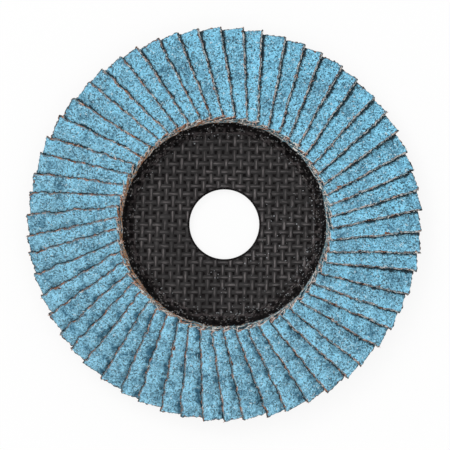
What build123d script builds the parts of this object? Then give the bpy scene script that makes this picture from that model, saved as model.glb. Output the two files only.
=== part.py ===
from build123d import *
import math
import os
import random

# A flap disc for a 125 mm angle grinder. Flaps of coated abrasive cloth lie like roof tiles round a dished plate
# of resin-bonded glass mesh, and a ring of epoxy holds the lower edge of each flap to the plate.
#
# Millimetres and degrees. The origin is on the bore's axis, in the hub's back face, which seats on the grinder's
# flange. +Z points along the bore towards the working face. Seen from +Z, the flaps follow each other clockwise,
# and each one lies over the next.

# Backing plate: one pressed moulding of even thickness
DISC_DIAMETER = 125.0  # over the flaps' outer corners
FLAP_OVERHANG = 5.5  # of the flaps' outer corners past the plate's edge
BORE_DIAMETER = 22.23
PLATE_THICKNESS = 2.8
HUB_DIAMETER = 59.5  # at the foot of the wall, half way through the plate
HUB_OFFSET = 5.3  # how far the hub is set back behind the head of the wall
WALL_ANGLE = 60.0
RIM_SLOPE = 8.0  # the rim falls away from the work towards its edge
BEND_RADIUS = 3.0  # outside the bends at the foot and the head of the wall

# Flaps
FLAP_COUNT = 58
TOE_DIAMETER = 63.6  # across the lines of the flaps' inner ends, at their lower edges
FLAP_WIDTH = 16.0
FLAP_THICKNESS = 1.1
FLAP_CAMBER = 0.2  # rise of the flap's middle over the chord of its width
EDGE_OFFSET = 8.7  # of the open edge from the radius that it runs along
LAY_GAP = 0.2  # between one flap and the next, at their inner ends
FIRST_FLAP_ANGLE = 4.3  # clockwise from +Y

# How far the flaps stray from an even lay: they close up and open out in one wave and in two waves round the
# disc, and each one strays a little by itself
WAVE_DRIFT = 0.8
WAVE_PHASE = 147.0
DOUBLE_WAVE_DRIFT = 0.6
DOUBLE_WAVE_PHASE = -58.0
ANGLE_SCATTER = 0.25
YAW_SCATTER = 1.6  # about the middle of the inner end
RADIAL_SCATTER = 0.15
SCATTER_SEED = 1720544

# Adhesive
BED_THICKNESS = 0.5  # under the flaps' lower edges
BED_INNER_DIAMETER = 66.0
BED_EDGE_MARGIN = 1.0  # from the bed to the plate's edge

# Section of the plate
bore_radius = BORE_DIAMETER / 2
plate_radius = DISC_DIAMETER / 2 - FLAP_OVERHANG
half_thickness = PLATE_THICKNESS / 2
wall_foot = HUB_DIAMETER / 2
wall_head = wall_foot + HUB_OFFSET / math.tan(math.radians(WALL_ANGLE))
head_height = half_thickness + HUB_OFFSET
slope = math.radians(RIM_SLOPE)
face_apex = head_height + wall_head * math.tan(slope) + half_thickness / math.cos(slope)

# Lay of the flaps
pitch = 360 / FLAP_COUNT
toe_radius = TOE_DIAMETER / 2
tilt = math.asin((FLAP_THICKNESS + LAY_GAP) / (toe_radius * math.radians(pitch)))
root_offset = EDGE_OFFSET - FLAP_WIDTH * math.cos(tilt)
flap_rise = FLAP_WIDTH * math.sin(tilt) + FLAP_THICKNESS * math.cos(tilt)
corner_offset = EDGE_OFFSET - FLAP_THICKNESS * math.sin(tilt)
corner_reach = math.sqrt((DISC_DIAMETER / 2) ** 2 - corner_offset**2)
flap_length = (corner_reach - toe_radius - flap_rise * math.sin(slope)) / math.cos(slope)
scatter = random.Random(SCATTER_SEED).uniform
limits = (ANGLE_SCATTER, YAW_SCATTER, RADIAL_SCATTER)
strays = [[scatter(-limit, limit) for limit in limits] for _ in range(FLAP_COUNT)]


def face_height(radius):
    """Height of the plate's front face, where it slopes, at a distance from the axis."""
    return face_apex - radius * math.tan(slope)


def plate():
    """The mid-line of the plate's section is thickened both ways, trimmed, rounded at its bends, and revolved."""
    end = plate_radius + PLATE_THICKNESS
    mid_line = Polyline(
        (bore_radius - PLATE_THICKNESS, half_thickness),
        (wall_foot, half_thickness),
        (wall_head, head_height),
        (end, head_height - (end - wall_head) * math.tan(slope)),
    )
    strip = make_face(offset(mid_line, half_thickness, kind=Kind.INTERSECTION, side=Side.BOTH))
    kept = Pos((bore_radius + plate_radius) / 2, 0) * Rectangle(plate_radius - bore_radius, 4 * head_height)
    section = strip & kept
    back_corners = section.vertices().group_by(Axis.Y)[0]
    outside_of_foot = back_corners.sort_by(Axis.X)[-1]
    outside_of_head = section.vertices().sort_by(Axis.Y)[-1]
    section = fillet([outside_of_foot, outside_of_head], BEND_RADIUS)
    return revolve(Plane.XZ * section, Axis.Z)


def flap_blank(depth):
    """A cambered flap laid flat: width along X from its lower edge, length along Y from its inner end."""
    middle = FLAP_WIDTH / 2
    under = ThreePointArc((0, 0), (middle, FLAP_CAMBER), (FLAP_WIDTH, 0))
    over = ThreePointArc((0, depth), (middle, depth + FLAP_CAMBER), (FLAP_WIDTH, depth))
    sides = [Line((x, 0), (x, depth)) for x in (0, FLAP_WIDTH)]
    section = make_face(Curve() + [under, over, *sides])
    return extrude(Plane.XZ * section, amount=-flap_length)


def lay(index):
    """Where one flap lies: tilted about its lower edge, sloped with the rim, and turned to its place."""
    turn, yaw, shift = strays[index]
    wave = math.radians(index * pitch + WAVE_PHASE)
    double_wave = math.radians(2 * index * pitch + DOUBLE_WAVE_PHASE)
    drift = WAVE_DRIFT * math.cos(wave) + DOUBLE_WAVE_DRIFT * math.cos(double_wave)
    angle = FIRST_FLAP_ANGLE + index * pitch + drift + turn
    tilted = Pos(root_offset, shift, 0) * Rot(0, -math.degrees(tilt), 0)
    toe = Pos(0, toe_radius, face_height(toe_radius) + BED_THICKNESS)
    return Rot(0, 0, -angle) * toe * Rot(0, 0, yaw) * Rot(-RIM_SLOPE, 0, 0) * tilted


def bed():
    """A ring of epoxy, poured on the plate and pressed into a saw-tooth by the undersides of the flaps."""
    inner = BED_INNER_DIAMETER / 2
    outer = plate_radius - BED_EDGE_MARGIN
    below = half_thickness
    above = BED_THICKNESS + 1.5 * outer * math.radians(pitch) * math.tan(tilt)
    section = Polyline(
        (inner, face_height(inner) - below),
        (outer, face_height(outer) - below),
        (outer, face_height(outer) + above),
        (inner, face_height(inner) + above),
        close=True,
    )
    ring = revolve(Plane.XZ * make_face(section), Axis.Z)
    print_of_flap = flap_blank(2 * above)
    return ring - [plate()] - [lay(i) * print_of_flap for i in range(FLAP_COUNT)]


os.makedirs("parts", exist_ok=True)
export_step(plate(), "parts/backing_plate.step")
export_step(bed(), "parts/adhesive_bed.step")
for i in range(FLAP_COUNT):
    export_step(lay(i) * flap_blank(FLAP_THICKNESS), f"parts/flap_{i + 1:02d}.step")
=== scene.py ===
import math
import random
import bpy
from mathutils import Matrix, Vector, noise


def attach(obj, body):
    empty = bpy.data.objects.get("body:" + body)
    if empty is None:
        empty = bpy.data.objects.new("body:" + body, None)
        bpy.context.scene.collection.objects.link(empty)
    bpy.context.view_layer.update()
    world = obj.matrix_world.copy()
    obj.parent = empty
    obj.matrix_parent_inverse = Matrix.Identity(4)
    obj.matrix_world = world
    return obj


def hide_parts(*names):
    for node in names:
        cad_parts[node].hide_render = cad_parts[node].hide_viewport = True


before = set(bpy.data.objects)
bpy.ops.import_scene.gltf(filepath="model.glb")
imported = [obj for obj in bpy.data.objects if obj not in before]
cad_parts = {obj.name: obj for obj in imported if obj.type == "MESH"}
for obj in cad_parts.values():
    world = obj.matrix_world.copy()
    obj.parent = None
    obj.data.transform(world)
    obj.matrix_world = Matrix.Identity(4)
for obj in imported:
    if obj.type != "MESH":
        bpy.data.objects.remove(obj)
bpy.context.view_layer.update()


# Backing plate
# A disc of glass-fibre mesh, pressed in black phenolic resin between heated dies, with a depressed centre and
# a plain bore. The resin skin is thin, so the mesh shows through it as a plain weave.

RESIN = (0.0150, 0.0126, 0.0130, 1)
PIT_SHADE_RESIN = (0.0060, 0.0048, 0.0050, 1)
WALL_RESIN = (0.0030, 0.0024, 0.0026, 1)
PAINTED_WALL_SHEEN = (0.0700, 0.0600, 0.0610, 1)
DEEP_RESIN = (0.0030, 0.0024, 0.0025, 1)
DULL_RESIN = (0.0150, 0.0125, 0.0130, 1)
GLASS_BIT = (0.160, 0.150, 0.145, 1)
WARP_PITCH = 0.00236
WEFT_PITCH = 0.00240
STRAND_LEAN = math.radians(2)
HUB_FACE = 0.0028
HUB_FLAT_RADIUS = 0.0293
INNER_EDGE_RADIUS = 0.0335
BORE_LIP = 0.0116
MESH_TOP = HUB_FACE + 0.0016
MESH_END = HUB_FACE + 0.0040


class Shade:
    """One output of a shader node. Adding or multiplying it adds Math nodes to the same material."""

    def __init__(self, socket):
        self.socket = socket

    def output(self, key):
        """Another output of the same node."""
        return Shade(self.socket.node.outputs[key])

    def node(self, kind, settings, inputs, output=0):
        """Adds a node, sets it up, fills or links its inputs, and gives one of its outputs."""
        tree = self.socket.id_data
        made = tree.nodes.new("ShaderNode" + kind)
        for name, value in settings.items():
            setattr(made, name, value)
        for name, value in inputs.items():
            if isinstance(value, Shade):
                tree.links.new(value.socket, made.inputs[name])
            else:
                made.inputs[name].default_value = value
        return Shade(made.outputs[output])

    def math(self, operation, first, second=0.0):
        return self.node("Math", {"operation": operation}, {0: first, 1: second})

    def __add__(self, other):
        return self.math("ADD", self, other)

    def __radd__(self, other):
        return self.math("ADD", other, self)

    def __sub__(self, other):
        return self.math("SUBTRACT", self, other)

    def __rsub__(self, other):
        return self.math("SUBTRACT", other, self)

    def __mul__(self, other):
        return self.math("MULTIPLY", self, other)

    def __rmul__(self, other):
        return self.math("MULTIPLY", other, self)

    def parts(self):
        """The X, Y and Z of a place."""
        split = self.node("SeparateXYZ", {}, {0: self})
        return split, split.output(1), split.output(2)

    def attribute(self, name):
        """A value stored at each point of the mesh."""
        return self.node("Attribute", {"attribute_name": name}, {}, 2)

    def step(self, low, high):
        """0 below low, 1 above high, and smooth between."""
        span = {"Value": self, "From Min": low, "From Max": high}
        return self.node("MapRange", {"interpolation_type": "SMOOTHSTEP"}, span)

    def cloud(self, size, detail=2.0):
        """Noise at this place, from about 0.3 to 0.7, with lumps of a size in metres."""
        return self.node("TexNoise", {}, {"Vector": self, "Scale": 1 / size, "Detail": detail})

    def grains(self, size):
        """Cells of a size in metres, like packed grains, each with one value between 0 and 1."""
        cells = self.node("TexVoronoi", {}, {"Vector": self, "Scale": 1 / size}, 1)
        return cells.node("SeparateColor", {}, {0: cells})

    def blend(self, plain, marked):
        """One colour where this is 0, and another where it is 1."""
        return self.node("Mix", {"data_type": "RGBA"}, {0: self, 6: plain, 7: marked}, 2)


def new_finish(name, **fixed):
    """A material, its shader node, and the place on the piece, for patterns to start from."""
    material = bpy.data.materials.new(name)
    material.use_nodes = True
    tree = material.node_tree
    shader = tree.nodes["Principled BSDF"]
    for socket, value in fixed.items():
        shader.inputs[socket.replace("_", " ")].default_value = value
    place = tree.nodes.new("ShaderNodeTexCoord")
    return material, shader, Shade(place.outputs["Object"])


def lay_on(shader, colour=None, roughness=None, relief=None, depth=0.0001):
    """Links a colour, a roughness and a relief of a depth in metres to a shader."""
    tree = shader.id_data
    if colour:
        tree.links.new(colour.socket, shader.inputs["Base Color"])
    if roughness:
        tree.links.new(roughness.socket, shader.inputs["Roughness"])
    if relief:
        bump = relief.node("Bump", {}, {"Height": relief, "Strength": 1.0, "Distance": depth})
        tree.links.new(bump.socket, shader.inputs["Normal"])


def pressed_resin():
    """Black resin between and round the strands: pitted, with bits of broken glass fibre and grit in it, and
    a painted sheen where the mesh shows low on the wall.
    """
    material, shader, place = new_finish("pressed_resin", Specular_IOR_Level=0.10)
    patches = place.cloud(0.003, 3).step(0.35, 0.65)
    grain = place.cloud(0.0008, 4)
    bits = (place.grains(0.0005) + 0.06 * patches).step(0.93, 0.98)
    x, y, z = place.parts()
    across = x.math("COSINE", x * (2 * math.pi / WARP_PITCH))
    along = y.math("COSINE", y * (2 * math.pi / WEFT_PITCH))
    # The mesh shows low on the hub's wall as lighter resin: a painted sheen.
    mesh = (1 - z.step(MESH_TOP, MESH_END)) * across.math("MAXIMUM", across, along).step(0.0, 0.9)
    resin = (0.2 * patches * grain + mesh * (0.2 + patches)).blend(WALL_RESIN, PAINTED_WALL_SHEEN)
    lay_on(
        shader,
        colour=bits.blend(resin, GLASS_BIT),
        roughness=0.36 + 0.25 * patches,
        relief=grain + 0.3 * bits + 0.5 * mesh,
        depth=0.0005,
    )
    return material


def pit_resin():
    """The dull black resin that shows between the strands."""
    material, shader, place = new_finish("pit_resin", Specular_IOR_Level=0.12, Roughness=0.8)
    grain = place.cloud(0.0005, 3)
    lay_on(shader, colour=grain.step(0.35, 0.65).blend(DEEP_RESIN, DULL_RESIN), relief=grain, depth=0.0002)
    return material


def woven_resin():
    """The same resin, with the strands only in relief as flat ribbons over and under, and painted shade in
    the pits.
    """
    material, shader, place = new_finish("woven_resin", Specular_IOR_Level=0.4)
    drift = place.cloud(0.012, 1)
    x, y, _ = place.parts()
    across = x * (1 / WARP_PITCH) + drift * 0.5
    along = y * (1 / WEFT_PITCH) + drift * 0.5

    def ribbon(count, run):
        """Height of a row of ribbons that alternate over and under as they run."""
        nearest = count.math("ROUND", count)
        aside = count.math("ABSOLUTE", count - nearest)
        wave = run.math("COSINE", (run + nearest) * math.pi)
        return (1 - aside.step(0.20, 0.32)) * (0.62 + 0.38 * wave)

    # Where the ribbons are low or absent, the resin gets a darker colour: painted shade in the pits.
    over = across.math("MAXIMUM", ribbon(across, along), ribbon(along, across + 1.0))
    grain = place.cloud(0.0005, 3)
    lay_on(
        shader,
        colour=over.step(0.1, 0.8).blend(PIT_SHADE_RESIN, RESIN),
        roughness=0.62 - 0.2 * over,
        relief=over + 0.25 * grain,
        depth=0.00022,
    )
    return material


def only(piece):
    """Leaves one object selected and active."""
    bpy.ops.object.select_all(action="DESELECT")
    piece.select_set(True)
    bpy.context.view_layer.objects.active = piece


def new_object(name, data):
    """An object made from its data, and linked to the scene."""
    made = bpy.data.objects.new(name, data)
    bpy.context.scene.collection.objects.link(made)
    return made


def copy_of_node(node, name):
    """A copy of a CAD node's mesh, merged and smoothed, to be worked on in its place."""
    piece = new_object(name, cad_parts[node].data.copy())
    only(piece)
    bpy.ops.object.mode_set(mode="EDIT")
    bpy.ops.mesh.select_all(action="SELECT")
    bpy.ops.mesh.remove_doubles(threshold=1e-7)
    bpy.ops.object.mode_set(mode="OBJECT")
    bpy.ops.object.shade_smooth_by_angle(angle=math.radians(35))
    piece.data.materials.clear()
    return piece


plate = copy_of_node("backing_plate", "moulded_plate")
plate.data.materials.append(woven_resin())
plate.data.materials.append(pressed_resin())
plate.data.materials.append(pit_resin())
for face in plate.data.polygons:
    inside_ring = face.center.xy.length < INNER_EDGE_RADIUS and face.normal.z > 0.1
    on_hub_face = inside_ring and face.normal.z > 0.99 and face.center.z < HUB_FACE + 0.0001
    face.material_index = 2 if on_hub_face else 1 if inside_ring else 0
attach(plate, "root")
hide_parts("backing_plate")


# Strands of the plate's mesh
# Flat ribbons of glass fibre, woven over and under, which stand out of the resin on the hub's front face.
# They are part of the moulding, and fade out where the hub turns up into its wall.

STRAND_WIDTH = 0.00158
STRAND_LIFT = 0.00030
STRAND_WAVE = 0.00016
STRAND_CROWN = 0.00020
STRAND_SINK = 0.00012
STRAND_BOW = 0.00034
WIDTH_SPREAD = 0.26
STRAND_SHADE = (0.0078, 0.0064, 0.0067, 1)
PAINTED_STRAND_SHEEN = (0.110, 0.096, 0.097, 1)
FADE_WIDTH = 0.0007
STEPS_PER_PITCH = 10
STRAND_SKIN = 0.00025


def store(mesh, name, values):
    """Stores one value at each point of a mesh, for its material to read."""
    mesh.attributes.new(name, "FLOAT", "POINT").data.foreach_set("value", values)


def strand_height(run, number, aside, spot):
    """Height of a strand over the hub's face, at a share of its half width to one side of its middle."""
    wave = math.cos(math.pi * (run + number))
    crown = STRAND_CROWN * (1 - abs(aside) ** 3)
    groove = 0.2 * STRAND_CROWN * math.cos(2 * math.pi * aside + 4 * noise.noise(spot * 160))
    sunk = STRAND_SINK * noise.noise(spot * 110)
    fading = max(0, 1 - (HUB_FLAT_RADIUS - spot.xy.length) / FADE_WIDTH)
    return HUB_FACE + (STRAND_LIFT + STRAND_WAVE * wave - STRAND_CROWN - sunk) * (1 - fading) + crown + groove


def lay_strands(name, pitch, cross_pitch, turned):
    """Lays a row of strands flat at a pitch, waves and turns it, and trims it to the hub's face."""
    reach = math.ceil(HUB_FLAT_RADIUS / pitch)
    length = 2 * math.ceil(HUB_FLAT_RADIUS / cross_pitch) * cross_pitch
    steps = round(length / cross_pitch * STEPS_PER_PITCH)
    bpy.ops.object.select_all(action="DESELECT")
    bpy.ops.mesh.primitive_grid_add(x_subdivisions=8, y_subdivisions=steps, size=1)
    row = bpy.context.object
    row.name = name
    bpy.ops.transform.resize(value=(STRAND_WIDTH, length, 1))
    bpy.ops.object.transform_apply(location=False, rotation=False, scale=True)
    spread = row.modifiers.new("spread", "ARRAY")
    spread.count = 2 * reach + 1
    spread.use_relative_offset = False
    spread.use_constant_offset = True
    spread.constant_offset_displace = (pitch, 0, 0)
    bpy.ops.object.modifier_apply(modifier=spread.name)
    bpy.ops.object.mode_set(mode="EDIT")
    bpy.ops.mesh.select_all(action="SELECT")
    bpy.ops.transform.translate(value=(-reach * pitch, 0, 0))
    bpy.ops.object.mode_set(mode="OBJECT")
    turn = Matrix.Rotation(turned, 3, "Z")
    highlight_ridges = []
    for vertex in row.data.vertices:
        number = round(vertex.co.x / pitch)
        aside = (vertex.co.x - number * pitch) / (STRAND_WIDTH / 2)
        run = vertex.co.y / cross_pitch
        bow = STRAND_BOW * noise.noise(Vector((number * 0.7, vertex.co.y * 45, turned)))
        width = 1 + WIDTH_SPREAD * noise.noise(Vector((number * 1.3, vertex.co.y * 250, 5 + turned)))
        flat = Vector((number * pitch + aside * width * STRAND_WIDTH / 2 + bow, vertex.co.y, 0))
        placed = turn @ flat
        over = number + (1 if turned > 1 else 0)
        placed.z = strand_height(run, over, aside, placed)
        # The value stored for the material marks a painted highlight along each strand's crown, strongest
        # where it passes over.
        crossing_highlight = 0.82 + 0.18 * math.cos(math.pi * (run + over))
        highlight_ridges.append(crossing_highlight * max(0, 1 - 1.2 * abs(aside)))
        radius = placed.xy.length
        trimmed = min(max(radius, BORE_LIP), HUB_FLAT_RADIUS)
        if trimmed != radius:
            placed.xy = placed.xy * (trimmed / radius)
            placed.z = HUB_FACE - STRAND_SKIN / 2
        vertex.co = placed
    store(row.data, "highlight_ridge", highlight_ridges)
    bpy.ops.object.mode_set(mode="EDIT")
    bpy.ops.mesh.select_all(action="SELECT")
    bpy.ops.mesh.dissolve_degenerate(threshold=1e-5)
    bpy.ops.mesh.select_mode(type="FACE")
    bpy.ops.mesh.select_all(action="DESELECT")
    bpy.ops.object.mode_set(mode="OBJECT")
    for face in row.data.polygons:
        radii = [row.data.vertices[corner].co.xy.length for corner in face.vertices]
        face.select = max(radii) <= BORE_LIP + 1e-6 or min(radii) >= HUB_FLAT_RADIUS - 1e-6
    bpy.ops.object.mode_set(mode="EDIT")
    bpy.ops.mesh.delete(type="FACE")
    bpy.ops.object.mode_set(mode="OBJECT")
    skin = row.modifiers.new("skin", "SOLIDIFY")
    skin.thickness = STRAND_SKIN
    skin.offset = -1
    bpy.ops.object.modifier_apply(modifier=skin.name)
    bpy.ops.object.shade_smooth_by_angle(angle=math.radians(60))
    return row


def strand_resin(name, stretch, highlight_strength):
    """Resin skin over the strands: fibres show as fine lines along them, and painted highlights lie on the
    crowns and in streaks.
    """
    material, shader, place = new_finish(name, Specular_IOR_Level=0.3)
    highlight_ridge = place.attribute("highlight_ridge")
    lines = place.node("VectorMath", {"operation": "MULTIPLY"}, {0: place, 1: stretch}).cloud(0.00044, 2)
    patches = place.cloud(0.0030, 2)
    crown_highlight = highlight_ridge.step(0.0, 0.7) * (0.30 + 1.5 * (patches - 0.3))
    streak_highlight = (lines + 0.6 * highlight_ridge + 0.3 * (patches - 0.5)).step(0.88, 1.06)
    zones = place.cloud(0.011, 1).step(0.30, 0.70)
    wear_and_highlight = (0.32 * crown_highlight + streak_highlight) * (0.55 + 0.9 * zones)
    lay_on(
        shader,
        colour=(highlight_strength * wear_and_highlight).blend(STRAND_SHADE, PAINTED_STRAND_SHEEN),
        roughness=0.55 - 0.2 * wear_and_highlight,
        relief=lines,
        depth=0.00014,
    )
    return material


warp = lay_strands("warp_strands", WARP_PITCH, WEFT_PITCH, -STRAND_LEAN)
weft = lay_strands("weft_strands", WEFT_PITCH, WARP_PITCH, math.pi / 2)
# The weft gets a weaker painted highlight than the warp.
warp.data.materials.append(strand_resin("warp_resin", (1, 0.06, 1), 0.76))
weft.data.materials.append(strand_resin("weft_resin", (0.12, 1, 1), 0.44))
for strands in (warp, weft):
    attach(strands, "root")


# Crumbs of grit
# Grains of zirconia that break off the flaps while these are pressed in. They fall to the foot of the hub's
# wall, more of them on one side, and a few on its flat face, and stick to the resin there.

CRUMB_COUNT = 640
CRUMB_SEED = 5
CRUMB_MARGIN = 0.0012
CRUMB_BAND = 0.0050
FACE_REACH = (BORE_LIP + 0.001, INNER_EDGE_RADIUS - 0.004)
DROP_HEIGHT = 0.02
STRAND_TOP = 0.0004
SMALLEST_CRUMB = 0.00020
CRUMB_SPREAD = 0.00034
LITTERED_SIDE = 125
LITTER_SPREAD = 40
DARK_GRAIN = (0.024, 0.026, 0.028, 1)
PALE_GRAIN = (0.420, 0.440, 0.460, 1)


def crumb_finish():
    """Broken grain: grey to whitish, each a little different, and glassy."""
    material, shader, place = new_finish("broken_grain", Specular_IOR_Level=0.6, Roughness=0.25)
    tint = place.attribute("tint")
    chips = place.cloud(0.0003, 2)
    lay_on(
        shader,
        colour=(tint + 0.6 * (chips - 0.5)).blend(DARK_GRAIN, PALE_GRAIN),
        relief=chips,
        depth=0.0001,
    )
    return material


bpy.ops.object.select_all(action="DESELECT")
bpy.ops.mesh.primitive_ico_sphere_add(subdivisions=1, radius=0.5)
pattern_crumb = bpy.context.object
pattern_crumb.data.materials.append(crumb_finish())
chance = random.Random(CRUMB_SEED)
crumbs = []
for number in range(CRUMB_COUNT):
    if number % 3 == 0:
        turn = math.radians(chance.gauss(LITTERED_SIDE, LITTER_SPREAD))
    else:
        turn = chance.uniform(0, 2 * math.pi)
    reach = INNER_EDGE_RADIUS - CRUMB_MARGIN - CRUMB_BAND * chance.random() ** 1.3
    if number % 6 == 0:
        reach = chance.uniform(*FACE_REACH)
    above = Vector((reach * math.sin(turn), reach * math.cos(turn), DROP_HEIGHT))
    _, spot, lean, _ = plate.ray_cast(above, Vector((0, 0, -1)))
    size = SMALLEST_CRUMB + CRUMB_SPREAD * chance.random() ** 2
    mesh = pattern_crumb.data.copy()
    for vertex in mesh.vertices:
        vertex.co *= size * (1 + 0.7 * noise.noise(vertex.co * 3 + Vector((number, 0, 0))))
        vertex.co += spot + lean * (0.2 * size + (STRAND_TOP if reach < HUB_FLAT_RADIUS else 0))
    store(mesh, "tint", [chance.random()] * len(mesh.vertices))
    crumbs.append(new_object("grit_crumbs", mesh))
bpy.data.objects.remove(pattern_crumb)


def join(pieces):
    """Joins pieces into the first of them."""
    bpy.ops.object.select_all(action="DESELECT")
    for piece in pieces:
        piece.select_set(True)
    bpy.context.view_layer.objects.active = pieces[0]
    bpy.ops.object.join()
    return pieces[0]


grit_crumbs = join(crumbs)
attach(grit_crumbs, "root")


# Adhesive bed
# Filled epoxy, poured as a ring on the plate's sloping rim. The flaps are pressed in while it is wet, so it
# keeps the print of their lower edges, and only its outer and inner faces show.

DARK_AMBER = (0.030, 0.018, 0.010, 1)
AMBER = (0.085, 0.050, 0.024, 1)

bed = copy_of_node("adhesive_bed", "epoxy_bed")


def cured_epoxy():
    """Dark amber, glossy, with dust and small bubbles."""
    material, shader, place = new_finish("cured_epoxy", Specular_IOR_Level=0.5)
    clouding = place.cloud(0.003, 3).step(0.35, 0.65)
    bubbles = place.cloud(0.0006, 2)
    lay_on(
        shader,
        colour=clouding.blend(DARK_AMBER, AMBER),
        roughness=0.25 + 0.3 * clouding,
        relief=bubbles,
        depth=0.00015,
    )
    return material


bed.data.materials.append(cured_epoxy())
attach(bed, "root")
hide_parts("adhesive_bed")


# Flaps
# Woven cloth, stiffened with rust-brown size and coated with blue resin and zirconia grit, is slit to width
# and guillotined to length. The cut edges are left raw, so grit chips off them and the cloth frays.

SKY_BLUE = (0.338, 0.716, 0.930, 1)
CLEAR_BLUE = (0.270, 0.712, 0.975, 1)
DEEP_BLUE = (0.040, 0.142, 0.222, 1)
DARK_GRIT = (0.022, 0.060, 0.082, 1)
PALE_GRIT = (0.640, 0.780, 0.830, 1)
RUST = (0.420, 0.180, 0.100, 1)
TAN = (0.540, 0.290, 0.150, 1)
PINK = (0.560, 0.380, 0.320, 1)
WHITISH = (0.800, 0.780, 0.740, 1)
DUSTY_BLUE = (0.150, 0.290, 0.350, 1)
EDGE_BLACK_AND_SHADE = (0.008, 0.016, 0.020, 1)
CREVICE_SHADOW = (0.009, 0.021, 0.028, 1)
SIZED_CLOTH = (0.150, 0.058, 0.030, 1)
WORN_CLOTH = (0.340, 0.150, 0.080, 1)
TWILL_PITCH = 0.00075
YARN_PITCH = 0.0004
CLUMP = 0.0020
GRAIN = 0.00066
FINE_GRAIN = 0.00040
GRAIN_CELL = 0.00038
COAT_SHARE = 0.35
ROW_PITCH = 0.00036
COLUMN_PITCH = 0.00045
HIDDEN_COLUMNS = 4
SHOWN_WIDTH = 0.0078
FLUTTER_LENGTH = 0.0052
INNER_FLUTTER = 0.00008
OUTER_FLUTTER = 0.00040
RHYTHM = 0.20
FREE_SHARE = 0.6
PUFFY_SIDE = math.radians(225)
PUFFINESS = 0.70
CREASED_SIDE = math.radians(188)
LUMP = 0.00010
CREASE_SPOT = 0.0006
CREASE_REACH = 0.0014
CREASE_SHADE = 1.5
DENT = 0.00015
EDGE_WANDER = 0.00036
FRAYING = 0.00016
CHIPPING = 0.00012
CREVICE_SHADOW_SHIFT = 0.00022
RIM_CHIPPING = 0.00036
ROLL_SEED = 11

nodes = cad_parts
flap_names = sorted(name for name in nodes if name.startswith("flap_"))


def flap_frame(node):
    """Where a flap lies, its width along X from the glued edge and length along Y outwards, and its size."""
    mesh = node.data
    middle = sum((vertex.co for vertex in mesh.vertices), Vector()) / len(mesh.vertices)
    outward = Vector((middle.x, middle.y, 0)).normalized()
    clockwise = Vector((outward.y, -outward.x, 0))
    length_axis = max(mesh.polygons, key=lambda face: face.normal.dot(outward)).normal.copy()
    width_axis = max(mesh.polygons, key=lambda face: face.normal.dot(clockwise)).normal.copy()
    up_axis = width_axis.cross(length_axis)
    axes = Matrix((width_axis, length_axis, up_axis))
    flat = [axes @ vertex.co for vertex in mesh.vertices]
    low = Vector(min(point[k] for point in flat) for k in range(3))
    high = Vector(max(point[k] for point in flat) for k in range(3))
    edge_top = max(point.z for point in flat if point.x < low.x + 1e-5)
    size = (high.x - low.x, high.y - low.y, edge_top - low.z, high.z - edge_top)
    place = axes.transposed().to_4x4()
    place.translation = axes.transposed() @ low
    return place, size


def sheet_blank(width, length, thickness):
    """A slab with its glued edge on the Y axis, cut into rows and columns, and into coat and cloth."""
    bpy.ops.object.select_all(action="DESELECT")
    bpy.ops.mesh.primitive_cube_add(size=1, location=(width / 2, length / 2, thickness / 2))
    slab = bpy.context.object
    bpy.ops.transform.resize(value=(width, length, thickness))
    bpy.ops.object.transform_apply(location=True, rotation=False, scale=True)
    first_shown = width - SHOWN_WIDTH
    hidden = [first_shown * (k + 1) / HIDDEN_COLUMNS for k in range(HIDDEN_COLUMNS)]
    shown_count = round(SHOWN_WIDTH / COLUMN_PITCH)
    shown = [first_shown + SHOWN_WIDTH * (k + 1) / shown_count for k in range(shown_count - 1)]
    row_count = round(length / ROW_PITCH)
    cuts = [((x, 0, 0), (1, 0, 0)) for x in hidden + shown]
    cuts += [((0, length * (k + 1) / row_count, 0), (0, 1, 0)) for k in range(row_count - 1)]
    cuts += [((0, 0, thickness * (1 - COAT_SHARE)), (0, 0, 1))]
    bpy.ops.object.mode_set(mode="EDIT")
    for place, across in cuts:
        bpy.ops.mesh.select_all(action="SELECT")
        bpy.ops.mesh.bisect(plane_co=place, plane_no=across)
    bpy.ops.object.mode_set(mode="OBJECT")
    return slab


def name_faces(slab, thickness):
    """Coat on top, its broken lip round the rim, raw cloth on the cut edges, and plain cloth underneath."""
    for face in slab.data.polygons:
        if face.normal.z > 0.5:
            face.material_index = 0
        elif face.normal.z < -0.5:
            face.material_index = 3
        elif face.center.z > thickness * (1 - COAT_SHARE):
            face.material_index = 1
        else:
            face.material_index = 2
    layout = slab.data.uv_layers.new(name="sheet")
    for loop in slab.data.loops:
        spot = slab.data.vertices[loop.vertex_index].co
        layout.data[loop.index].uv = (spot.x, spot.y)


def edge_shift(turn, roll, y):
    """How far a flap's open edge strays from straight, at a length from its inner end."""
    scallops = abs(noise.noise(Vector((math.cos(turn) * 5, math.sin(turn) * 5, y * 260))))
    slow = noise.noise(Vector((roll, y * 110, 1)))
    quick = noise.noise(Vector((roll, y * 900, 1)))
    puffy = 1 + PUFFINESS * math.cos(turn - PUFFY_SIDE)
    return EDGE_WANDER * (puffy * (1.6 * scallops - 0.4) + 0.9 * slow + 0.45 * quick - 0.3)


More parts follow.
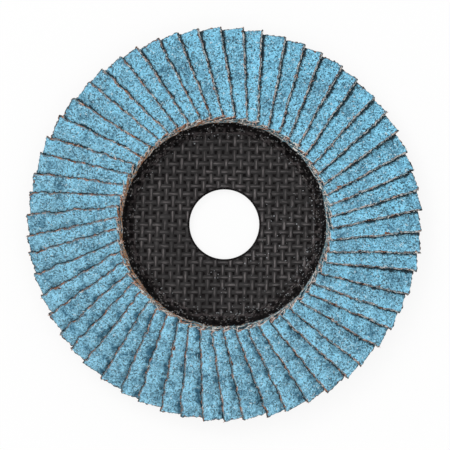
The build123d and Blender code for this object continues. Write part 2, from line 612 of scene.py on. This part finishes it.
def work_sheet(mesh, size, turn, roll, distances):
    """Bends a cut sheet to its camber, flutters and puckers it, wears its edges, and stores its colour level:
    random per flap, with painted light and shade.
    """
    width, length, thickness, camber = size
    puffy = 1 + PUFFINESS * math.cos(turn - PUFFY_SIDE)
    creased = 0.22 + 0.95 * max(0, math.cos(turn - CREASED_SIDE)) ** 1.5
    tones_and_painted_light = []
    sheet_tone = 0.10 * math.sin(roll)
    for vertex, distance in zip(mesh.vertices, distances):
        x, y, z = vertex.co
        share = x / width
        out = y / length
        lift = camber * 4 * share * (1 - share)
        flutter = (INNER_FLUTTER + (OUTER_FLUTTER - INNER_FLUTTER) * out) * puffy
        wave = noise.noise(Vector((math.cos(turn) * 4, math.sin(turn) * 4 + x * 60, y * 2 / FLUTTER_LENGTH)))
        phase = 4 * noise.noise(Vector((math.cos(turn) * 3, math.sin(turn) * 3, 8)))
        wave += RHYTHM * math.sin(2 * math.pi * y / FLUTTER_LENGTH + phase)
        lump = noise.noise(Vector((x * 420, y * 640, roll)))
        near = max(0, 1 - abs(distance - CREASE_SPOT) / CREASE_REACH)
        ruck = noise.noise(Vector((x * 220, y * 320, roll + 9)))
        ruck += 0.5 * noise.noise(Vector((x * 700, y * 900, roll)))
        pucker = min(1, max(0, 0.25 + 2.6 * ruck))
        painted_edge_light = max(0, share - 0.72) * creased * max(0, 0.4 + 1.6 * noise.noise(Vector((roll, y * 380, 5))))
        dent = creased * near * pucker
        clean_and_painted_light = max(0, 1 - creased) * near**2
        vertex.co.z += lift + 2 * flutter * share**2 * wave + 2 * LUMP * puffy * share * lump - DENT * dent
        # The colour level stored below is random per flap. It has painted light on the crests of the waves
        # and lumps and painted shade in their troughs, more painted light near the open edge and beside the
        # flap above, and painted shade in the creases.
        tone_and_painted_light = sheet_tone + 0.40 * wave + 0.5 * puffy * lump
        tones_and_painted_light.append(tone_and_painted_light + 2.2 * painted_edge_light + 0.9 * clean_and_painted_light - CREASE_SHADE * dent)
        vertex.co.x += edge_shift(turn, roll, y) * max(0, share - FREE_SHARE) / (1 - FREE_SHARE)
        if x > width - 1e-6:
            frayed = noise.noise(Vector((roll, y * 2600, 2)))
            vertex.co.x += FRAYING * frayed
            if z > thickness - 1e-6:
                chip = max(0, noise.noise(Vector((roll, y * 1100, 7))))
                vertex.co.x -= CHIPPING * (0.7 + 2 * chip)
                vertex.co.z -= CHIPPING * (0.2 + 0.8 * chip)
        if y < 1e-6 or y > length - 1e-6:
            inward = 1 if y < 1e-6 else -1
            frayed = noise.noise(Vector((x * 900, roll, 3 + inward)))
            frayed += 0.8 * noise.noise(Vector((x * 1900, roll, 4)))
            vertex.co.y += inward * FRAYING * (0.7 + 2.5 * frayed)
            if z > thickness - 1e-6:
                chip = max(0, noise.noise(Vector((x * 1100, roll, 6))))
                vertex.co.y += inward * RIM_CHIPPING * (0.6 + 2.8 * chip)
                vertex.co.z -= CHIPPING * (0.2 + 0.8 * chip)
    store(mesh, "tone_and_painted_light", tones_and_painted_light)


def shade_crevice(mesh, place, upper):
    """Stores and gives how far each point lies beyond the open edge of the flap above it, in metres."""
    upper_place, upper_turn, upper_roll = upper
    # The shift counts every point as further beyond the edge above, which narrows the painted shadow there,
    # most on the disc's lower left; the creases move with it.
    beyond_shift = CREVICE_SHADOW_SHIFT * (0.7 + 0.5 * math.cos(upper_turn - PUFFY_SIDE))
    to_here = place.inverted() @ upper_place
    inner = to_here @ Vector((FLAP_SIZE[0], 0, 0))
    outer = to_here @ Vector((FLAP_SIZE[0], FLAP_SIZE[1], 0))
    distances = []
    for vertex in mesh.vertices:
        along = (vertex.co.y - inner.y) / (outer.y - inner.y)
        edge = inner.x + (outer.x - inner.x) * along
        shift = edge_shift(upper_turn, upper_roll, along * FLAP_SIZE[1])
        distances.append(vertex.co.x - edge - shift + beyond_shift)
    store(mesh, "beyond", distances)
    return distances


def grit_coat():
    """Blue resin over grit, with dark hollows, pale grains, painted light and shade, painted shadow by the
    flap above, and chipped edges.
    """
    material, shader, place = new_finish("grit_coat", Specular_IOR_Level=0.25)
    across, along, _ = place.node("UVMap", {"uv_map": "sheet"}, {}).parts()
    tone_and_painted_light = place.attribute("tone_and_painted_light")
    beyond = place.attribute("beyond")
    x, y, _ = place.parts()
    # This rises towards the disc's upper right, where the painted shadow by the flap above is made strongest;
    # it also shifts the coat's blue and its share of dark grit.
    shadow_side = 0.61 + 3.2 * x + 4.4 * y
    clumps = place.cloud(CLUMP, 3)
    grains = place.cloud(GRAIN, 2)
    fine = place.cloud(FINE_GRAIN, 2)
    cells = place.grains(GRAIN_CELL)
    hollow = (0.7 * cells + 2.2 * (grains - 0.5) + 1.4 * (clumps - 0.5)).step(0.46, 0.86)
    pale = (place.cloud(0.0008, 1) + 0.1 * fine + 0.05 * shadow_side).step(0.76, 0.80)
    broad = place.cloud(0.005, 2)
    mottle = 1.2 * (broad - 0.5) + 1.5 * (clumps - 0.5) + 1.7 * (grains - 0.5) + 1.3 * (fine - 0.5)
    # The stored colour level brings its painted light and shade into the coat.
    grained_tone_and_light = tone_and_painted_light * (1 + 3 * (grains - 0.5) + 3 * (fine - 0.5))
    level = 0.91 + 0.5 * grained_tone_and_light + mottle - 0.50 * cells
    dyed = (shadow_side + broad - 0.5).step(0.30, 1.05)
    blue = level.blend(DEEP_BLUE, dyed.blend(SKY_BLUE, CLEAR_BLUE))
    gritty = (hollow * (0.72 + 0.18 * shadow_side)).blend(blue, DARK_GRIT)
    sparkled = (pale * 0.7).blend(gritty, PALE_GRIT)
    # Painted shade on the coat beside the open edge of the flap above, stronger towards the upper right, and
    # a painted black shadow line right at that edge.
    shaded = (1 - (beyond + 0.0034 * (clumps - 0.5)).step(0.0001, 0.0013)) * (1.5 * grains - 0.50)
    dim = (shadow_side * shaded).blend(sparkled, CREVICE_SHADOW)
    edged = beyond + 0.00140 * (0.70 - shadow_side) + 0.0024 * (grains - 0.5) + 0.0026 * (clumps - 0.5)
    painted_gap_shadow = 1 - edged.step(-0.00012, 0.00022)
    gap_shadowed = (0.90 * painted_gap_shadow).blend(dim, CREVICE_SHADOW)
    rim = place.cloud(0.0009, 3) * 0.0009
    from_side = across.math("SUBTRACT", FLAP_SIZE[0], across)
    from_end = across.math("MINIMUM", along + 0.00034, across.math("SUBTRACT", FLAP_SIZE[1] - 0.00018, along))
    nearest = across.math("MINIMUM", from_side, from_end)
    missing = (place.cloud(0.0045, 1) + 0.3 * (grains - 0.5)).step(0.70, 0.78) * 0.0008
    bare = 1 - (nearest - rim - missing).step(-0.00042, -0.00020)
    scuffed = place.cloud(0.0005, 2).step(0.42, 0.58).blend(EDGE_BLACK_AND_SHADE, RUST)
    lay_on(
        shader,
        colour=bare.blend(gap_shadowed, scuffed),
        roughness=0.72 - 0.18 * hollow,
        relief=0.7 * grains + 0.4 * fine - 0.5 * hollow,
        depth=0.0004,
    )
    return material


def upper_right_share(x, y):
    """How far a spot lies to the disc's upper right, where its edges are paler: from about -0.35 to 0.35."""
    return 4.5 * x + 4.0 * y


def broken_lip():
    """The coat's broken lip: pale pink and whitish ends, with rust, black, and some of the blue left on."""
    material, shader, place = new_finish("broken_lip", Specular_IOR_Level=0.15, Roughness=0.9)
    _, along, _ = place.node("UVMap", {"uv_map": "sheet"}, {}).parts()
    ends = place.cloud(0.0008, 2)
    length_wise = place.cloud(0.0035, 2)
    x, y, _ = place.parts()
    right = upper_right_share(x, y)
    pale = (length_wise + right).step(0.40, 0.70).blend(PINK, WHITISH)
    tinted = (place.cloud(0.0024, 3) - 0.25 * right).step(0.52, 0.60).blend(pale, RUST)
    dark = (ends + 0.4 * length_wise + 0.05 * right).step(0.68, 0.74)
    wear_and_highlight = dark.blend(tinted, EDGE_BLACK_AND_SHADE)
    left_blue = (place.cloud(0.0016, 2) - 0.2 * right).step(0.43, 0.52).blend(wear_and_highlight, DUSTY_BLUE)
    at_toe = 1 - along.step(0.0002, 0.0004)
    dusted = (place.cloud(0.0011, 2) + 0.3 * length_wise).step(0.62, 0.70).blend(DUSTY_BLUE, WHITISH)
    browned = (place.cloud(0.0013, 2) + 4.0 * x).step(0.36, 0.42).blend(TAN, dusted)
    ringed = (at_toe * ends.step(0.40, 0.48)).blend(left_blue, browned)
    at_rim = along.step(FLAP_SIZE[1] - 0.0010, FLAP_SIZE[1] - 0.0004) * (1 - ends.step(0.48, 0.56))
    lay_on(shader, colour=(0.9 * at_rim).blend(ringed, EDGE_BLACK_AND_SHADE), relief=ends, depth=0.0003)
    return material


def cut_cloth():
    """The cut through the cloth, below the coat: near black, partly dark cloth and partly painted shade, with
    rust-brown thread ends.
    """
    material, shader, place = new_finish("cut_cloth", Specular_IOR_Level=0.15, Roughness=0.9)
    _, along, _ = place.node("UVMap", {"uv_map": "sheet"}, {}).parts()
    at_toe = 1 - along.step(0.0001, 0.0003)
    x, y, _ = place.parts()
    right = upper_right_share(x, y)
    ends = place.cloud(0.0007, 3)
    stained = (place.cloud(0.002, 2) + 0.5 * right).step(0.46, 0.62).blend(RUST, WHITISH)
    clean_and_painted_light = (ends + 0.5 * place.cloud(0.0025, 2) + 0.10 * right).step(0.75, 0.83)
    # The near-black cut face stands partly for dark cloth and partly for painted shade under the open edge.
    cut = clean_and_painted_light.blend(EDGE_BLACK_AND_SHADE, stained)
    dusted = (place.cloud(0.0011, 2) + 4.0 * x).step(0.46, 0.52).blend(TAN, DUSTY_BLUE)
    lay_on(shader, colour=(at_toe * ends.step(0.44, 0.50)).blend(cut, dusted), relief=ends, depth=0.0003)
    return material


def cloth_back():
    """The cloth's back: a close twill in rust-brown size."""
    material, shader, place = new_finish("cloth_back", Specular_IOR_Level=0.2, Roughness=0.85)
    across, along, _ = place.node("UVMap", {"uv_map": "sheet"}, {}).parts()
    twill = across.math("SINE", (across + along) * (2 * math.pi / TWILL_PITCH))
    threads = across.math("SINE", along * (2 * math.pi / YARN_PITCH))
    soiled = place.cloud(0.004, 3).step(0.35, 0.65)
    weave = 0.5 + 0.3 * twill + 0.2 * threads
    lay_on(
        shader,
        colour=(0.6 * soiled + 0.4 * weave).blend(SIZED_CLOTH, WORN_CLOTH),
        relief=weave,
        depth=0.00012,
    )
    return material


FLAP_SIZE = flap_frame(nodes[flap_names[0]])[1]
pattern_flap = sheet_blank(*FLAP_SIZE[:3])
name_faces(pattern_flap, FLAP_SIZE[2])
for finish in (grit_coat(), broken_lip(), cut_cloth(), cloth_back()):
    pattern_flap.data.materials.append(finish)

rolls = random.Random(ROLL_SEED)
lays = []
for name in flap_names:
    place = flap_frame(nodes[name])[0]
    outward = place.to_3x3().col[1]
    lays.append((place, math.atan2(outward.x, outward.y), rolls.uniform(0, 100)))
for number, name in enumerate(flap_names):
    place, turn, roll = lays[number]
    sheet = new_object("cloth_" + name, pattern_flap.data.copy())
    beyond_edge = shade_crevice(sheet.data, place, lays[number - 1])
    work_sheet(sheet.data, FLAP_SIZE, turn, roll, beyond_edge)
    sheet.data.transform(place)
    only(sheet)
    bpy.ops.object.shade_smooth_by_angle(angle=math.radians(50))
    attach(sheet, "root")
    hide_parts(name)
bpy.data.objects.remove(pattern_flap)


# Loose threads
# Where a flap is cut, single yarns of its cloth work loose: tufts at the inner corners, a few along the inner
# end and the open edge, and short ends at the rim. They are stiff with size, and keep their bend.

THREAD_RADIUS = 0.00012
THREAD_PARTS = 5
THREAD_SEED = 23
TUFT_LENGTHS = (0.0005, 0.0017)
TOE_LENGTHS = (0.0010, 0.0026)
EDGE_LENGTHS = (0.0005, 0.0016)
RIM_LENGTHS = (0.0003, 0.0007)
SIZED_TINTS = (0.9, 1.2, 0.9, 0.9, 0.9, 0.1)
DUSTY_TINTS = (1.2, 1.2, 1.2, 0.9, 0.5, 0.1)


def thread_finish():
    """Bare yarn: whitish or pinkish, rust-brown where the size took, and blue where the coat's dust lies."""
    material, shader, place = new_finish("loose_yarn", Specular_IOR_Level=0.2, Roughness=0.85)
    tint = place.attribute("tint")
    twist = place.cloud(0.0003, 2)
    pale = (tint + 0.5 * (twist - 0.5)).step(0.25, 0.65).blend(WHITISH, PINK)
    stained = (tint + 0.4 * (twist - 0.5)).step(0.72, 0.86)
    dusted = (tint + 0.4 * (twist - 0.5)).step(1.02, 1.14)
    lay_on(shader, colour=dusted.blend(stained.blend(pale, RUST), DUSTY_BLUE), relief=twist, depth=0.0001)
    return material


def thread_blank():
    """A four-sided yarn of length 1 along Y, in equal parts, pinched at its far end."""
    bpy.ops.object.select_all(action="DESELECT")
    bpy.ops.mesh.primitive_cylinder_add(
        vertices=4, radius=THREAD_RADIUS, depth=1, location=(0, 0.5, 0), rotation=(math.pi / 2, 0, 0)
    )
    yarn = bpy.context.object
    bpy.ops.object.transform_apply(location=True, rotation=True, scale=True)
    bpy.ops.object.mode_set(mode="EDIT")
    for k in range(1, THREAD_PARTS):
        bpy.ops.mesh.select_all(action="SELECT")
        bpy.ops.mesh.bisect(plane_co=(0, k / THREAD_PARTS, 0), plane_no=(0, 1, 0))
    bpy.ops.object.mode_set(mode="OBJECT")
    for vertex in yarn.data.vertices:
        pinch = 1 - 0.65 * max(0, vertex.co.y - 0.5) * 2
        vertex.co.x *= pinch
        vertex.co.z *= pinch
    yarn.data.materials.append(thread_finish())
    bpy.ops.object.shade_smooth()
    return yarn


def lay_thread(place, start, heading, length, curl, droop, tint):
    """A copy of the yarn from a start point on a flap, bent sideways by curl and down by droop, in metres."""
    mesh = pattern_yarn.data.copy()
    ahead = Vector((math.sin(heading), math.cos(heading), 0))
    aside = Vector((ahead.y, -ahead.x, 0))
    for vertex in mesh.vertices:
        share = vertex.co.y
        middle = start + ahead * length * share + aside * curl * share**2
        middle.z -= droop * share**2
        vertex.co = middle + aside * vertex.co.x + Vector((0, 0, vertex.co.z))
    mesh.transform(place)
    store(mesh, "tint", [tint] * len(mesh.vertices))
    return new_object("loose_threads", mesh)


pattern_yarn = thread_blank()
chance = random.Random(THREAD_SEED)
width, length, thickness = FLAP_SIZE[:3]
threads = []
for place, turn, roll in lays:
    for _ in range(chance.randint(3, 7)):
        across = width - chance.uniform(0.0002, 0.0016)
        start = Vector((across, chance.uniform(-0.0001, 0.0004), thickness - 0.0001))
        heading = math.pi + chance.gauss(0, 1.1)
        threads.append(lay_thread(
            place, start, heading, chance.uniform(*TUFT_LENGTHS), chance.uniform(-0.0006, 0.0006),
            chance.uniform(0, 0.0006), 1.1 * chance.random()
        ))
    for _ in range(3):
        across = width - chance.uniform(0.0010, 0.0060)
        start = Vector((across, -0.00002, thickness - chance.uniform(0.0001, 0.0008)))
        heading = math.copysign(math.pi / 2, chance.uniform(-1, 1)) + chance.gauss(0, 0.12)
        threads.append(lay_thread(
            place, start, heading, chance.uniform(*TOE_LENGTHS), chance.uniform(-0.0003, 0.0001), 0,
            chance.choice(SIZED_TINTS if place.translation.x < -0.01 else DUSTY_TINTS)
        ))
    for _ in range(chance.randint(1, 3)):
        spot = chance.uniform(0.05, 0.98) * length
        start = Vector((width - 0.0001 + edge_shift(turn, roll, spot), spot, thickness - 0.00025))
        heading = chance.choice((0, math.pi)) + chance.gauss(0, 0.5)
        threads.append(lay_thread(
            place, start, heading, chance.uniform(*EDGE_LENGTHS), chance.uniform(-0.0004, 0.0004),
            chance.uniform(0, 0.0003), chance.random() ** 1.5
        ))
    for _ in range(chance.randint(0, 2)):
        start = Vector((width - chance.uniform(0.0001, 0.0010), length - 0.0003, thickness - 0.0003))
        threads.append(lay_thread(
            place, start, chance.gauss(0, 0.9), chance.uniform(*RIM_LENGTHS), chance.uniform(-0.0003, 0.0003),
            chance.uniform(0, 0.0003), chance.uniform(0.3, 1)
        ))
bpy.data.objects.remove(pattern_yarn)
loose_threads = join(threads)
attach(loose_threads, "root")


# Bench, light and camera
# The disc lies on its back on a white table, with a soft lamp to its upper left, a wide one overhead, and
# pale walls all round. The camera looks straight down the disc's axis.

DISC_RADIUS = 0.0625
DISC_RADIUS_PIXELS = 198.3
CENTRE_PIXELS = (224.35, 224.31)
FRAME_PIXELS = 450
SENSOR = 0.036
CAMERA_HEIGHT = 1.0
RIM_HEIGHT = 0.0117
TABLE_SIZE = 4
TABLE_GLOW = 0.86
ROOM_LIGHT = 0.42

bpy.ops.object.select_all(action="DESELECT")
bpy.ops.mesh.primitive_plane_add(size=TABLE_SIZE, location=(0, 0, 0))
table = bpy.context.object
table.name = "table"
white, paper, table_place = new_finish("table_white", Base_Color=(0.94, 0.94, 0.94, 1), Roughness=0.9)
path = table_place.node("LightPath", {}, {})
seen = path.math("MAXIMUM", path, path.output("Is Glossy Ray"))
glow = table_place.node("Emission", {}, {"Color": (1, 1, 1, 1), "Strength": 1.0})
lit = table_place.node("MixShader", {}, {0: seen * TABLE_GLOW, 1: Shade(paper.outputs[0]), 2: glow})
white.node_tree.links.new(lit.socket, white.node_tree.nodes["Material Output"].inputs["Surface"])
table.data.materials.append(white)


def lamp(name, place, size, power):
    """A square softbox, aimed at the disc."""
    light = bpy.data.lights.new(name, "AREA")
    light.size = size
    light.energy = power
    holder = new_object(name, light)
    holder.location = place
    holder.rotation_euler = (-Vector(place)).to_track_quat("-Z", "Y").to_euler()


lamp("key", (-0.62, 0.66, 1.15), 0.6, 4.8)
lamp("overhead", (0, 0, 1.5), 1.6, 13.5)

world = bpy.data.worlds.new("room")
world.use_nodes = True
world.node_tree.nodes["Background"].inputs["Color"].default_value = (1, 1, 1, 1)
world.node_tree.nodes["Background"].inputs["Strength"].default_value = ROOM_LIGHT
bpy.context.scene.world = world
bpy.context.scene.view_settings.view_transform = "Standard"

view_width = FRAME_PIXELS * DISC_RADIUS / DISC_RADIUS_PIXELS
camera_data = bpy.data.cameras.new("camera")
camera_data.sensor_width = SENSOR * 1000
camera_data.lens = SENSOR * 1000 * (CAMERA_HEIGHT - RIM_HEIGHT) / view_width
camera = new_object("camera", camera_data)
pixel = view_width / FRAME_PIXELS
camera.location = (
    (FRAME_PIXELS / 2 - CENTRE_PIXELS[0]) * pixel,
    (CENTRE_PIXELS[1] - FRAME_PIXELS / 2) * pixel,
    CAMERA_HEIGHT,
)
bpy.context.scene.camera = camera
